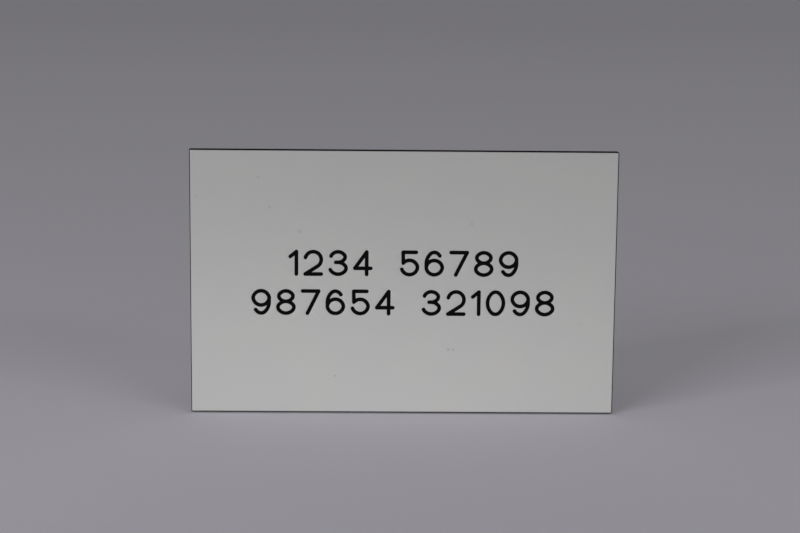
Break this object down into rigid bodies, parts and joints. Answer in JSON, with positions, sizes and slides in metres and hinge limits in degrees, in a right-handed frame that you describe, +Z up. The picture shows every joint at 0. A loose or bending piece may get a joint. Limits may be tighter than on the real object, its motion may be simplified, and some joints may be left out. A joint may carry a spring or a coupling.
{
  "type": "mailbox name plate",
  "caption": "Flat rectangular name plate of laminated plastic for a mailbox, with a thin white cap engraved down to its black core, a bevelled front rim and a flat back to stick on.",
  "frame": {"origin": "middle of the back face, which is stuck to the mailbox", "axes": "+X to the reader's right along the long side, +Y out of the back face into the mailbox, +Z up"},
  "size_m": [0.08, 0.0016, 0.05],
  "materials": {
    "black_core": "matte black, cut and sawn",
    "white_cap": "satin off-white"
  },
  "bodies": {
    "root": {"black_core": "black_core", "white_cap": "white_cap"}
  },
  "joints": []
}
